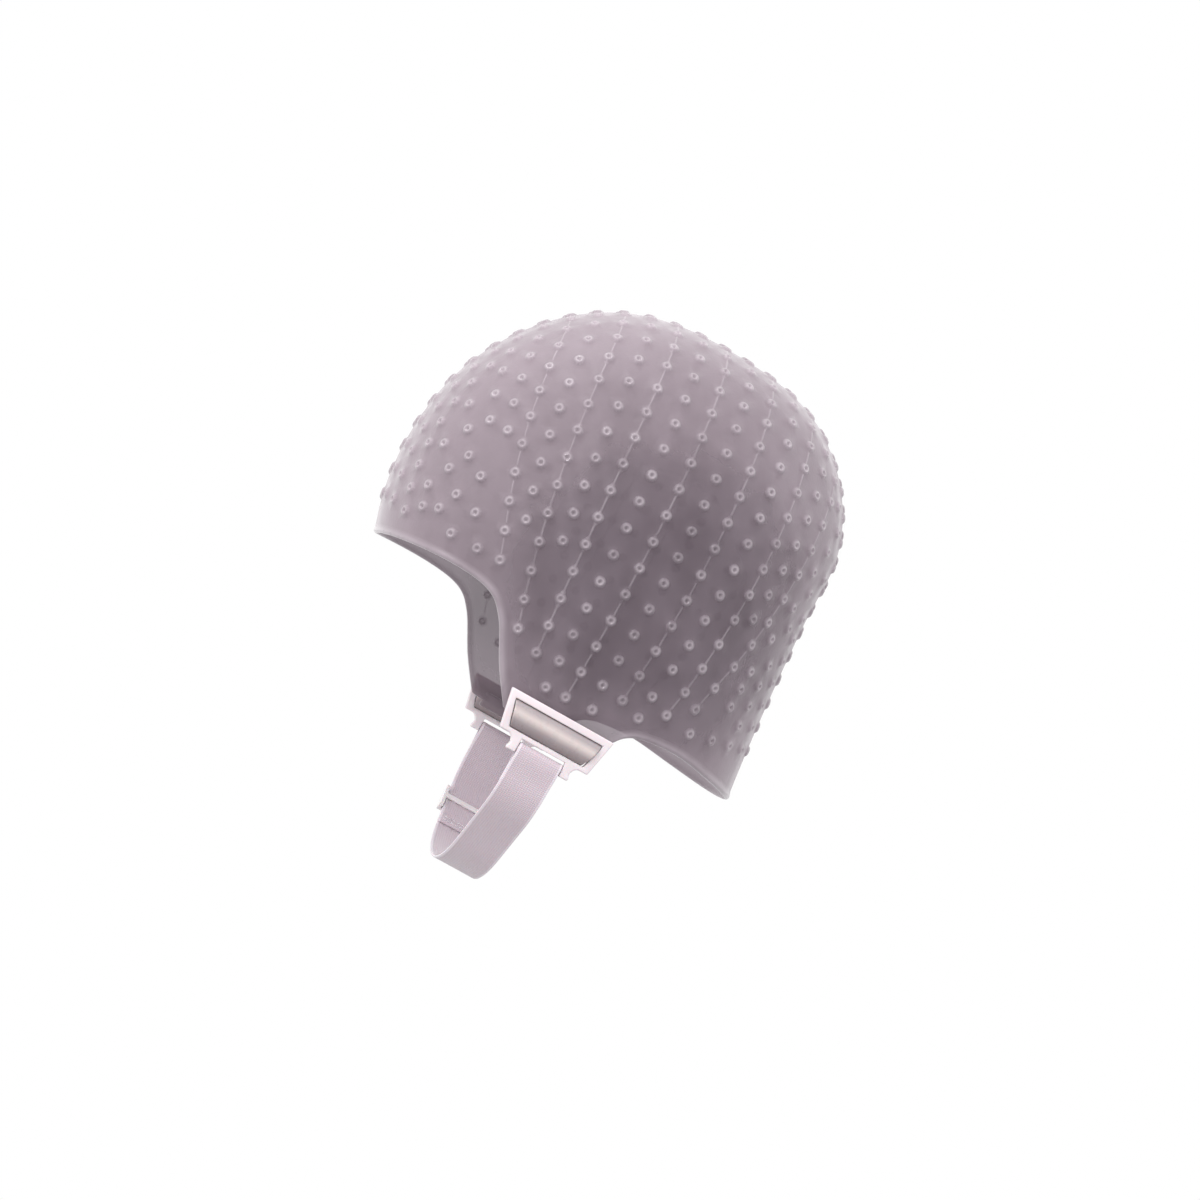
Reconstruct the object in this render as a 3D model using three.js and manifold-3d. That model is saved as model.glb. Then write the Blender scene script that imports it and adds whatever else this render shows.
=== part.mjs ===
// Highlighting cap with a chin strap: a frosted silicone cap that covers the whole hair, two moulded
// buckles that turn on rods in the cap's side tabs, and an elastic strap with a slider under the chin.
// Millimetres. +Z is up, -Y is the forehead, +X is the wearer's left. The origin is the middle of the head.
import * as THREE from "three";
import { mergeVertices } from "three/addons/utils/BufferGeometryUtils.js";
import Module from "manifold-3d";

const wasm = await Module();
wasm.setup();

// ---- Driving dimensions -------------------------------------------------------------------------

// Cap: radius of the middle section, every 30 degrees from the back of the head (0) over the crown (90) to
// the forehead (180). The first and last values only set the slope at the two ends.
const PROFILE_STEP = 30;
const PROFILE_RADII = [86, 111.5, 121, 117.3, 120.3, 118.5, 115, 115, 112];
const HEAD_HALF_WIDTH = 78;
const SECTION_POWER = 2.3; // a little fuller than an ellipse
const CROWN_FULLNESS = 0.35; // added to the power towards the crown
const NAPE_LEAN = 0.535; // how fast the back of the cap runs forward below the origin
const NAPE_HOLLOW = 0.0006;
const BROW_LEAN = 0.1;
const NECK_SHIFT = 0.12; // the sections below the origin move forward with the neck
const NECK_TAPER = 0.0012; // and get narrower
const WALL = 1.8;
const LOWEST_LEVEL = -132;
const ROUND_STEPS = 56;
const DOME_STEPS = 11;
const NECK_STEPS = 8;

// Tab, rod and buckle. The rod's axis lies across the side tab and drops towards the back.
const ROD_X = 75;
const ROD_Y = -38.5;
const ROD_Z = -80;
const ROD_DROP = THREE.MathUtils.degToRad(29.5);
const ROD_RADIUS = 1;
const ROD_HALF_LENGTH = 22.8;
const GAP = 0.3;
const BEAD_HALF_HEIGHT = 6.1;
const BEAD_HALF_THICKNESS = 4.2;
const BEAD_END_GAP = 0.7;
const WEB_LENGTH = 37; // the web joins the bead to the cap's wall
const WEB_HEIGHT = 8;
const WEB_DEPTH = 6;
const WEB_START = 3;

const FRAME_THICKNESS = 4.4;
const FRAME_TOP = 10.1; // above the rod's axis
const FRAME_BOTTOM = -8.7;
const FRAME_TOP_HALF = 27;
const FRAME_BOTTOM_HALF = 23.1;
const WINDOW_TOP = 6.5;
const WINDOW_BOTTOM = -6.5;
const WINDOW_TOP_HALF = 23.2;
const WINDOW_BOTTOM_HALF = 19.7;
const FRAME_BEVEL = 0.5;
const BAR_DROP = 13; // from the rod's axis to the strap bar's axis
const BAR_RADIUS = 1.5;
const LOOP_HALF = 15.4;
const LOOP_ARM = 3.8;
const LOOP_BOTTOM = -15.5;

// Strap: its path lies in the plane of the side-to-side direction and the buckle's downward direction.
const STRAP_WIDTH = 22.5;
const STRAP_THICKNESS = 1.2;
const LAYER_OFFSET = 0.75; // each layer of the doubled strap lies this far from the path
const PATH_STRAIGHT_END = 22;
const RUN_START = [66, 44];
const RUN_END = [46, 63];
const CHIN_DROP = 78; // from the rod's axis to the lowest point of the path
const SEWN_END_DROP = 30;
const TAIL_END_PAST_RUN = 3;
const STITCH_LENGTH = 3;
const STITCH_THICKNESS = 0.4;

// Slider on the wearer's right run.
const SLIDER_LENGTH = 13;
const SLIDER_BAR = 2.6;
const SLIDER_RAIL = 2;
const SLIDER_THICKNESS = 6.2;

// ---- Materials ----------------------------------------------------------------------------------

const silicone = new THREE.MeshStandardMaterial({ color: 0xb2a9b1, roughness: 0.45, metalness: 0 });
const whitePlastic = new THREE.MeshStandardMaterial({ color: 0xece6ea, roughness: 0.35, metalness: 0 });
const rodSteel = new THREE.MeshStandardMaterial({ color: 0xc9c9cc, roughness: 0.3, metalness: 1 });
const elastic = new THREE.MeshStandardMaterial({ color: 0xd3c9d3, roughness: 0.9, metalness: 0 });
const thread = new THREE.MeshStandardMaterial({ color: 0xe6dfe6, roughness: 0.9, metalness: 0 });

// ---- Solids -------------------------------------------------------------------------------------

function toSolid(geometry) {
  const bare = geometry.clone();
  bare.deleteAttribute("normal");
  bare.deleteAttribute("uv");
  const merged = mergeVertices(bare, 1e-4);
  const vertProperties = new Float32Array(merged.attributes.position.array);
  const triVerts = new Uint32Array(merged.index.array);
  return new wasm.Manifold(new wasm.Mesh({ numProp: 3, vertProperties, triVerts }));
}

function toGeometry(solid) {
  const mesh = solid.getMesh();
  const geometry = new THREE.BufferGeometry();
  geometry.setAttribute("position", new THREE.BufferAttribute(mesh.vertProperties, 3));
  geometry.setIndex(new THREE.BufferAttribute(mesh.triVerts, 1));
  geometry.computeVertexNormals();
  return geometry;
}

function namedMesh(name, geometry, material) {
  const mesh = new THREE.Mesh(geometry, material);
  mesh.name = name;
  return mesh;
}

// A flat outline pushed to the given thickness, centred on its own plane.
function plate(shape, thickness, bevel = 0) {
  const geometry = new THREE.ExtrudeGeometry(shape, {
    depth: thickness - 2 * bevel,
    bevelEnabled: bevel > 0,
    bevelThickness: bevel,
    bevelSize: bevel,
    bevelOffset: -bevel,
    bevelSegments: 2,
    curveSegments: 6,
  });
  return geometry.translate(0, 0, bevel - thickness / 2);
}

function outline(points) {
  return new THREE.Shape(points.map(([x, y]) => new THREE.Vector2(x, y)));
}

// ---- Cap surface --------------------------------------------------------------------------------

// Radius of the middle section at an angle in degrees from the back, 0 to 180.
function profileRadius(angle) {
  const step = Math.min(Math.floor(angle / PROFILE_STEP), PROFILE_RADII.length - 4);
  const t = angle / PROFILE_STEP - step;
  const [before, from, to, after] = PROFILE_RADII.slice(step, step + 4);
  const slopeFrom = (to - before) / 2;
  const slopeTo = (after - from) / 2;
  return (
    from * (2 * t ** 3 - 3 * t ** 2 + 1) +
    slopeFrom * (t ** 3 - 2 * t ** 2 + t) +
    to * (3 * t ** 2 - 2 * t ** 3) +
    slopeTo * (t ** 3 - t ** 2)
  );
}

function roundedReach(across, along, power) {
  return (across ** power + along ** power) ** (-1 / power);
}

// Point of the upper cap, at a bearing from the back towards the wearer's left and an elevation.
function domePoint(bearing, elevation, inset) {
  const direction = new THREE.Vector3(
    Math.cos(elevation) * Math.sin(bearing),
    Math.cos(elevation) * Math.cos(bearing),
    Math.sin(elevation),
  );
  const angle = THREE.MathUtils.radToDeg(Math.atan2(direction.z, direction.y));
  const along = Math.hypot(direction.y, direction.z) / profileRadius(angle);
  const power = SECTION_POWER + CROWN_FULLNESS * Math.sin(elevation);
  const reach = roundedReach(Math.abs(direction.x) / HEAD_HALF_WIDTH, along, power);
  return direction.multiplyScalar(reach - inset);
}

// Point of the lower cap, at a bearing and a level below the origin.
function neckPoint(bearing, level, inset) {
  const centre = NECK_SHIFT * level;
  const back = PROFILE_RADII[1] + NAPE_LEAN * level + NAPE_HOLLOW * level ** 2 - centre;
  const front = centre + PROFILE_RADII[7] - BROW_LEAN * level;
  const width = HEAD_HALF_WIDTH - NECK_TAPER * level ** 2;
  const length = Math.cos(bearing) > 0 ? back : front;
  const across = Math.abs(Math.sin(bearing)) / width;
  const along = Math.abs(Math.cos(bearing)) / length;
  const reach = roundedReach(across, along, SECTION_POWER);
  const radius = reach - inset;
  return new THREE.Vector3(radius * Math.sin(bearing), centre + radius * Math.cos(bearing), level);
}

// Closed solid of the whole head shape, inset by the given depth, down to the given level.
function headSolid(inset, lowestLevel) {
  const crown = domePoint(0, Math.PI / 2, inset);
  const rings = [];
  for (let i = 1; i <= DOME_STEPS; i += 1) {
    const elevation = (Math.PI / 2) * (1 - i / DOME_STEPS);
    rings.push((bearing) => domePoint(bearing, elevation, inset));
  }
  for (let i = 1; i <= NECK_STEPS; i += 1) {
    const level = (lowestLevel * i) / NECK_STEPS;
    rings.push((bearing) => neckPoint(bearing, level, inset));
  }
  const vertices = [crown];
  for (const ring of rings) {
    for (let k = 0; k < ROUND_STEPS; k += 1) {
      vertices.push(ring((2 * Math.PI * k) / ROUND_STEPS));
    }
  }
  const bottom = vertices.length;
  vertices.push(new THREE.Vector3(0, NECK_SHIFT * lowestLevel, lowestLevel));
  const index = [];
  const at = (ring, k) => 1 + ring * ROUND_STEPS + (k % ROUND_STEPS);
  for (let k = 0; k < ROUND_STEPS; k += 1) {
    index.push(0, at(0, k + 1), at(0, k));
    index.push(bottom, at(rings.length - 1, k), at(rings.length - 1, k + 1));
    for (let ring = 0; ring + 1 < rings.length; ring += 1) {
      index.push(at(ring, k), at(ring, k + 1), at(ring + 1, k));
      index.push(at(ring, k + 1), at(ring + 1, k + 1), at(ring + 1, k));
    }
  }
  const geometry = new THREE.BufferGeometry().setFromPoints(vertices);
  geometry.setIndex(index);
  return toSolid(geometry);
}

// ---- Rim ----------------------------------------------------------------------------------------

// Directions in the buckle's plane, as (y, z): along the rod towards the back, and down to the strap.
const ALONG_ROD = [Math.cos(ROD_DROP), -Math.sin(ROD_DROP)];
const DOWN_BUCKLE = [-Math.sin(ROD_DROP), -Math.cos(ROD_DROP)];

function inBuckle(along, down) {
  return [
    ROD_Y + along * ALONG_ROD[0] + down * DOWN_BUCKLE[0],
    ROD_Z + along * ALONG_ROD[1] + down * DOWN_BUCKLE[1],
  ];
}

function smoothLine(points, divisions) {
  const curve = new THREE.SplineCurve(points.map(([y, z]) => new THREE.Vector2(y, z)));
  return curve.getPoints(divisions).map((p) => [p.x, p.y]);
}

// Side view of everything that the rim leaves open: the face in front and the neck below.
function openingSolid() {
  const faceRim = smoothLine(
    [
      [-130, 18],
      [-108, 11],
      [-84, -1],
      [-68, -13],
      [-63, -26],
      [-62.6, -48],
      [-60.5, -68],
    ],
    24,
  );
  const tabEnd = [inBuckle(-21, 1), inBuckle(20, 1)];
  const neckRim = smoothLine(
    [
      [-10, -85.2],
      [-3, -82.9],
      [6, -84.4],
      [22, -91.8],
      [39, -104.2],
      [60, -120.5],
      [80, -136],
    ],
    20,
  );
  const below = [
    [80, -190],
    [-160, -190],
    [-160, 18],
  ];
  const shape = outline([...faceRim, ...tabEnd, ...neckRim, ...below]);
  const geometry = plate(shape, 4 * HEAD_HALF_WIDTH);
  const sideways = new THREE.Matrix4().makeBasis(
    new THREE.Vector3(0, 1, 0),
    new THREE.Vector3(0, 0, 1),
    new THREE.Vector3(1, 0, 0),
  );
  return toSolid(geometry.applyMatrix4(sideways));
}

// ---- Buckle frame -------------------------------------------------------------------------------

// Places a piece drawn in the buckle's own axes (along the rod, up the buckle, to the left) on a side.
function buckleMatrix(side) {
  const along = new THREE.Vector3(0, ALONG_ROD[0], ALONG_ROD[1]);
  const up = new THREE.Vector3(0, -DOWN_BUCKLE[0], -DOWN_BUCKLE[1]);
  const matrix = new THREE.Matrix4().makeBasis(along, up, new THREE.Vector3(1, 0, 0));
  return matrix.setPosition(side * ROD_X, ROD_Y, ROD_Z);
}

// Round bar along the rod's direction, at a height in the buckle's axes.
function crossBar(radius, halfLength, height, sides) {
  const geometry = new THREE.CylinderGeometry(radius, radius, 2 * halfLength, sides);
  return geometry.rotateZ(Math.PI / 2).translate(0, height, 0);
}

function trapezium(topHalf, top, bottomHalf, bottom) {
  return [
    [-topHalf, top],
    [-bottomHalf, bottom],
    [bottomHalf, bottom],
    [topHalf, top],
  ];
}

function buckleFrame() {
  const shape = outline([
    [-FRAME_TOP_HALF, FRAME_TOP],
    [-FRAME_BOTTOM_HALF, FRAME_BOTTOM],
    [-LOOP_HALF, FRAME_BOTTOM],
    [-LOOP_HALF, LOOP_BOTTOM],
    [-LOOP_HALF + LOOP_ARM, LOOP_BOTTOM],
    [-LOOP_HALF + LOOP_ARM, FRAME_BOTTOM],
    [LOOP_HALF - LOOP_ARM, FRAME_BOTTOM],
    [LOOP_HALF - LOOP_ARM, LOOP_BOTTOM],
    [LOOP_HALF, LOOP_BOTTOM],
    [LOOP_HALF, FRAME_BOTTOM],
    [FRAME_BOTTOM_HALF, FRAME_BOTTOM],
    [FRAME_TOP_HALF, FRAME_TOP],
  ]);
  const window = trapezium(WINDOW_TOP_HALF, WINDOW_TOP, WINDOW_BOTTOM_HALF, WINDOW_BOTTOM);
  shape.holes.push(outline(window.reverse()));
  const bar = toSolid(crossBar(BAR_RADIUS, LOOP_HALF - LOOP_ARM / 2, -BAR_DROP, 20));
  const socket = toSolid(crossBar(ROD_RADIUS + GAP, ROD_HALF_LENGTH + GAP, 0, 16));
  return toGeometry(toSolid(plate(shape, FRAME_THICKNESS, FRAME_BEVEL)).add(bar).subtract(socket));
}

// ---- Side tab -----------------------------------------------------------------------------------

// The thick end of a side tab: an oval bead round the rod, and the web that joins it to the cap's wall.
function tabBead(side) {
  const oval = new THREE.Shape();
  oval.absellipse(0, 0, BEAD_HALF_THICKNESS, BEAD_HALF_HEIGHT, 0, 2 * Math.PI);
  const bead = new THREE.ExtrudeGeometry(oval, {
    depth: 2 * FRAME_TOP_HALF,
    bevelEnabled: false,
    curveSegments: 28,
  });
  bead.translate(0, 0, -FRAME_TOP_HALF).rotateY(Math.PI / 2);
  const ends = outline(
    trapezium(
      WINDOW_TOP_HALF - BEAD_END_GAP,
      WINDOW_TOP,
      WINDOW_BOTTOM_HALF - BEAD_END_GAP,
      WINDOW_BOTTOM,
    ),
  );
  const web = new THREE.BoxGeometry(WEB_LENGTH, WEB_HEIGHT, WEB_DEPTH);
  web.translate(0, 0, -side * (WEB_START + WEB_DEPTH / 2));
  return toSolid(bead)
    .intersect(toSolid(plate(ends, 4 * BEAD_HALF_THICKNESS)))
    .add(toSolid(web))
    .subtract(toSolid(crossBar(ROD_RADIUS + GAP, FRAME_TOP_HALF, 0, 16)));
}

function capShell() {
  let shell = headSolid(0, LOWEST_LEVEL).subtract(headSolid(WALL, LOWEST_LEVEL - 2));
  shell = shell.subtract(openingSolid());
  for (const side of [1, -1]) {
    const bead = toGeometry(tabBead(side)).applyMatrix4(buckleMatrix(side));
    shell = shell.add(toSolid(bead));
  }
  return toGeometry(shell);
}

// ---- Chin strap ---------------------------------------------------------------------------------

// The strap's path on one side, from the buckle down to the chin, as (sideways, down from the rod).
function strapPath() {
  const point = (x, y) => new THREE.Vector2(x, y);
  const run = point(RUN_END[0] - RUN_START[0], RUN_END[1] - RUN_START[1]).normalize();
  const ahead = (from, reach) => point(from[0] + run.x * reach, from[1] + run.y * reach);
  const path = new THREE.CurvePath();
  path.add(new THREE.LineCurve(point(ROD_X, BAR_DROP), point(ROD_X, PATH_STRAIGHT_END)));
  path.add(
    new THREE.CubicBezierCurve(
      point(ROD_X, PATH_STRAIGHT_END),
      point(ROD_X, PATH_STRAIGHT_END + 9),
      ahead(RUN_START, -9),
      point(...RUN_START),
    ),
  );
  path.add(new THREE.LineCurve(point(...RUN_START), point(...RUN_END)));
  path.add(
    new THREE.CubicBezierCurve(
      point(...RUN_END),
      ahead(RUN_END, 13),
      point(21, CHIN_DROP),
      point(0, CHIN_DROP),
    ),
  );
  return path;
}

// Points of the path with their outward directions, from below the bar to a last curve of the path.
function layerPoints(offset, lastCurve, tail = 0) {
  const steps = [3, 8, 4, 12];
  const layer = [];
  strapPath().curves.slice(0, lastCurve + 1).forEach((curve, piece) => {
    for (let i = piece === 0 ? 1 : 0; i < steps[piece]; i += 1) {
      layer.push([curve.getPoint(i / steps[piece]), curve.getTangent(i / steps[piece])]);
    }
    if (piece === lastCurve) {
      const direction = curve.getTangent(1);
      layer.push([curve.getPoint(1).addScaledVector(direction, tail), direction]);
    }
  });
  // Next to the bar the two layers spread to pass round it.
  const eye = BAR_RADIUS + GAP + STRAP_THICKNESS / 2;
  return layer.map(([place, direction]) => {
    const nearBar = THREE.MathUtils.smoothstep(place.y, BAR_DROP + 1, PATH_STRAIGHT_END + 4);
    const spread = THREE.MathUtils.lerp(eye, LAYER_OFFSET, nearBar) * offset;
    return new THREE.Vector2(place.x + direction.y * spread, place.y - direction.x * spread);
  });
}

// The half circle over the bar, from the inner layer to the outer one.
function eyePoints() {
  const radius = BAR_RADIUS + GAP + STRAP_THICKNESS / 2;
  const points = [];
  for (let i = 0; i <= 10; i += 1) {
    const angle = Math.PI * (1 - i / 10);
    points.push(new THREE.Vector2(ROD_X + radius * Math.cos(angle), BAR_DROP - radius * Math.sin(angle)));
  }
  return points;
}

function mirrored(points) {
  return points.map((p) => new THREE.Vector2(-p.x, p.y)).reverse();
}

// The whole centre line of the ribbon: sewn end, left eye, under the chin, right eye and tail.
function ribbonLine() {
  const sewn = layerPoints(-1, 1).filter((p) => p.y < SEWN_END_DROP);
  const outer = layerPoints(1, 3);
  const tail = layerPoints(-1, 2, TAIL_END_PAST_RUN);
  const left = [...sewn.reverse(), ...eyePoints(), ...outer];
  const right = [...mirrored(outer).slice(1), ...mirrored(eyePoints()), ...mirrored(tail.reverse())];
  return [...left, ...right];
}

function strapOutline(line, thickness) {
  const sides = [[], []];
  line.forEach((place, i) => {
    const before = line[Math.max(i - 1, 0)];
    const after = line[Math.min(i + 1, line.length - 1)];
    const direction = after.clone().sub(before).normalize();
    const normal = new THREE.Vector2(-direction.y, direction.x).multiplyScalar(thickness / 2);
    sides[0].push(place.clone().add(normal));
    sides[1].push(place.clone().sub(normal));
  });
  return new THREE.Shape([...sides[0], ...sides[1].reverse()]);
}

// Places a piece drawn as (sideways, down, along the rod), with the rod's height as its zero.
function strapMatrix() {
  const sideways = new THREE.Vector3(1, 0, 0);
  const down = new THREE.Vector3(0, DOWN_BUCKLE[0], DOWN_BUCKLE[1]);
  const along = new THREE.Vector3().crossVectors(sideways, down);
  const matrix = new THREE.Matrix4().makeBasis(sideways, down, along);
  return matrix.setPosition(0, ROD_Y, ROD_Z);
}

function chinStrap() {
  return plate(strapOutline(ribbonLine(), STRAP_THICKNESS), STRAP_WIDTH);
}

// A band of stitches lying on the inner face of a folded end.
function stitching(side, end) {
  const inward = end.normal.clone().multiplyScalar(STRAP_THICKNESS / 2 + GAP + STITCH_THICKNESS / 2);
  const band = new THREE.BoxGeometry(STITCH_THICKNESS, STITCH_LENGTH, STRAP_WIDTH - 3);
  band.rotateZ(end.turn);
  band.translate(end.place.x + inward.x, end.place.y + inward.y, 0);
  return side > 0 ? band : toGeometry(toSolid(band).mirror([1, 0, 0]));
}

function foldedEnd(points) {
  const last = points[points.length - 1];
  const direction = last.clone().sub(points[points.length - 2]).normalize();
  return {
    place: last.clone().addScaledVector(direction, -STITCH_LENGTH),
    normal: new THREE.Vector2(-direction.y, direction.x),
    turn: Math.atan2(-direction.x, direction.y),
  };
}

// ---- Slider -------------------------------------------------------------------------------------

// Two bars cross the outer face of the doubled strap and one crosses its inner face.
function sliderGeometry() {
  const inner = STRAP_WIDTH / 2 + GAP + 0.2;
  const rail = new THREE.BoxGeometry(SLIDER_THICKNESS, SLIDER_LENGTH, SLIDER_RAIL);
  const layers = LAYER_OFFSET + STRAP_THICKNESS / 2 + GAP;
  const barDepth = SLIDER_THICKNESS / 2 - layers;
  const bar = new THREE.BoxGeometry(barDepth, SLIDER_BAR, 2 * inner + SLIDER_RAIL);
  const place = layers + barDepth / 2;
  const ends = (SLIDER_LENGTH - SLIDER_BAR) / 2;
  const pieces = [
    rail.clone().translate(0, 0, inner + SLIDER_RAIL / 2),
    rail.clone().translate(0, 0, -inner - SLIDER_RAIL / 2),
    bar.clone().translate(-place, ends, 0),
    bar.clone().translate(-place, -ends, 0),
    bar.clone().translate(place, 0, 0),
  ];
  return toGeometry(pieces.map(toSolid).reduce((whole, piece) => whole.add(piece)));
}

function sliderMatrix() {
  const middle = [(RUN_START[0] + RUN_END[0]) / 2, (RUN_START[1] + RUN_END[1]) / 2];
  const lean = Math.atan2(RUN_START[0] - RUN_END[0], RUN_END[1] - RUN_START[1]);
  const matrix = new THREE.Matrix4().makeTranslation(-middle[0], middle[1], 0);
  return matrix.multiply(new THREE.Matrix4().makeRotationZ(-lean));
}

// ---- Assembly -----------------------------------------------------------------------------------

const cap = new THREE.Group();
cap.add(namedMesh("cap_shell", capShell(), silicone));

for (const [name, side] of [["left", 1], ["right", -1]]) {
  const buckle = new THREE.Group();
  buckle.applyMatrix4(buckleMatrix(side));
  buckle.add(namedMesh(`${name}_buckle_frame`, buckleFrame(), whitePlastic));
  buckle.add(namedMesh(`${name}_tab_rod`, crossBar(ROD_RADIUS, ROD_HALF_LENGTH, 0, 16), rodSteel));
  cap.add(buckle);
}

const strap = new THREE.Group();
strap.applyMatrix4(strapMatrix());
strap.add(namedMesh("chin_strap", chinStrap(), elastic));
const sewnEnd = foldedEnd(layerPoints(-1, 1).filter((p) => p.y < SEWN_END_DROP));
strap.add(namedMesh("sewn_end_stitching", stitching(1, sewnEnd), thread));
const tailEnd = foldedEnd(layerPoints(-1, 2, TAIL_END_PAST_RUN));
strap.add(namedMesh("tail_stitching", stitching(-1, tailEnd), thread));
const slider = namedMesh("strap_slider", sliderGeometry(), whitePlastic);
slider.applyMatrix4(sliderMatrix());
strap.add(slider);
cap.add(strap);

export default cap;
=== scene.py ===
# Highlighting cap: the visual model. Lengths are worked out in millimetres and turned to metres where a
# mesh is made. +Z is up, -Y the forehead, +X the wearer's left. The origin is the middle of the head.
import math
import bmesh
import bpy
import numpy as np
from mathutils import Matrix, Vector
from mathutils.geometry import delaunay_2d_cdt
from mathutils.kdtree import KDTree


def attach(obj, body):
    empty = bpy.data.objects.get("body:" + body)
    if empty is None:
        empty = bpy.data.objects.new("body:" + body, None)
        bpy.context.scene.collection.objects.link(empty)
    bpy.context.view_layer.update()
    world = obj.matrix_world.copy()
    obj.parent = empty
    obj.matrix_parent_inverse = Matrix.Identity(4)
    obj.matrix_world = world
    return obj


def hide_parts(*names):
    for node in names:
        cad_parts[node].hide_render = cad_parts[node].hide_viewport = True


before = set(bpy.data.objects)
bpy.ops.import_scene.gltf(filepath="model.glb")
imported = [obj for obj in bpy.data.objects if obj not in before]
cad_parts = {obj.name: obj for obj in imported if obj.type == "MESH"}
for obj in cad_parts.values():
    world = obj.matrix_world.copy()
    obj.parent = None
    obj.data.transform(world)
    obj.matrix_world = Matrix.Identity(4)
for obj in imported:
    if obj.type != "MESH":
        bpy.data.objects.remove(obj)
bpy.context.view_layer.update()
MM = 0.001

# ---- Cap surface ---------------------------------------------------------------------------------

# Radius of the middle section every 30 degrees, from the back of the head (0) over the crown (90) to the
# forehead (180). The first and last values only set the slope at the two ends.
PROFILE_STEP = 30.0
PROFILE_RADII = np.array([86, 111.5, 121, 117.3, 120.3, 118.5, 115, 115, 112])
HEAD_HALF_WIDTH = 78.0
SECTION_POWER = 2.3
CROWN_FULLNESS = 0.35
NAPE_LEAN = 0.535
NAPE_HOLLOW = 0.0006
BROW_LEAN = 0.1
NECK_SHIFT = 0.12
NECK_TAPER = 0.0012
# The flat map shows the dome inside a disc and the neck as a ring round it.
EQUATOR = 2.0  # the disc's radius, reached at the origin's level
NECK_SCALE = 100.0  # how fast the flat map grows below the origin, close to the head's mean radius
FAIRING = 30.0  # height over which the neck's slope eases into the dome's

# Buckle place and size.
ROD = np.array([75.0, -38.5, -80.0])
ROD_DROP = math.radians(29.5)
ALONG = np.array([0.0, math.cos(ROD_DROP), -math.sin(ROD_DROP)])
DOWN = np.array([0.0, -math.sin(ROD_DROP), -math.cos(ROD_DROP)])

# Cap details.
HALF_WALL = 0.9
RIM_RADIUS = 1.5
PITCH = 13.7


def smooth(t):
    t = np.clip(t, 0, 1)
    return t * t * (3 - 2 * t)


def blend(before, start, end, after, t):
    """A smooth way from start to end for t from 0 to 1, with slopes that fit the values on either side."""
    slope_start = (end - before) / 2
    slope_end = (after - start) / 2
    return (
        start * (2 * t**3 - 3 * t**2 + 1)
        + slope_start * (t**3 - 2 * t**2 + t)
        + end * (3 * t**2 - 2 * t**3)
        + slope_end * (t**3 - t**2)
    )


def profile_radius(angle):
    step = np.clip(np.floor(angle / PROFILE_STEP), 0, len(PROFILE_RADII) - 4).astype(int)
    return blend(*(PROFILE_RADII[step + i] for i in range(4)), angle / PROFILE_STEP - step)


def dome_reach(bearing, elevation):
    """Distance from the origin to the surface, for elevations from 0 to a right angle."""
    dx = np.cos(elevation) * np.sin(bearing)
    dy = np.cos(elevation) * np.cos(bearing)
    dz = np.sin(elevation)
    angle = np.degrees(np.arctan2(dz, dy))
    along = np.hypot(dy, dz) / profile_radius(np.clip(angle, 0, 180))
    power = SECTION_POWER + CROWN_FULLNESS * dz
    across = np.abs(dx) / HEAD_HALF_WIDTH
    return (across**power + along**power) ** (-1 / power)


def neck_reach(bearing, level):
    """Horizontal distance from a level's centre to the surface, below the origin."""
    centre = NECK_SHIFT * level
    back = PROFILE_RADII[1] + NAPE_LEAN * level + NAPE_HOLLOW * level**2 - centre
    front = centre + PROFILE_RADII[7] - BROW_LEAN * level
    width = HEAD_HALF_WIDTH - NECK_TAPER * level**2
    length = np.where(np.cos(bearing) > 0, back, front)
    across = np.abs(np.sin(bearing)) / width
    along = np.abs(np.cos(bearing)) / length
    return (across**SECTION_POWER + along**SECTION_POWER) ** (-1 / SECTION_POWER)


def surface(points):
    """Points of the cap's surface for points of its flat map, an (n, 2) array."""
    radius = np.hypot(points[:, 0], points[:, 1])
    bearing = np.arctan2(points[:, 0], points[:, 1])
    elevation = np.maximum(np.pi / 2 - 2 * np.arctan(np.minimum(radius, EQUATOR) / EQUATOR), 0.0)
    reach = dome_reach(bearing, elevation)
    level = np.minimum(-NECK_SCALE * np.log(np.maximum(radius, EQUATOR) / EQUATOR), 0.0)
    low = neck_reach(bearing, level)
    # Ease the neck's slope into the dome's over the first stretch below the origin.
    nudge = 0.01
    dome_rise = dome_reach(bearing, nudge)
    dome_slope = (dome_rise * math.cos(nudge) - dome_reach(bearing, 0.0)) / (dome_rise * math.sin(nudge))
    neck_slope = (neck_reach(bearing, 0.0) - neck_reach(bearing, -nudge)) / nudge
    neck_slope = neck_slope + NECK_SHIFT * np.cos(bearing)
    low = low + (dome_slope - neck_slope) * level * np.clip(1 + level / FAIRING, 0, 1) ** 2
    upper = radius <= EQUATOR
    across = np.where(upper, reach * np.cos(elevation), low)
    x = across * np.sin(bearing)
    y = across * np.cos(bearing) + np.where(upper, 0.0, NECK_SHIFT * level)
    z = np.where(upper, reach * np.sin(elevation), level)
    return np.column_stack([x, y, z])


def flat_map(places):
    """The flat map's points for places on or near the surface, an (n, 3) array."""
    x, y, z = places[:, 0], places[:, 1], places[:, 2]
    centre = NECK_SHIFT * np.minimum(z, 0.0)
    bearing = np.arctan2(x, y - centre)
    colatitude = np.pi / 2 - np.arctan2(np.maximum(z, 0.0), np.hypot(x, y))
    dome, neck = EQUATOR * np.tan(colatitude / 2), EQUATOR * np.exp(-np.minimum(z, 0) / NECK_SCALE)
    radius = np.where(z >= 0, dome, neck)
    return np.column_stack([radius * np.sin(bearing), radius * np.cos(bearing)])


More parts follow.
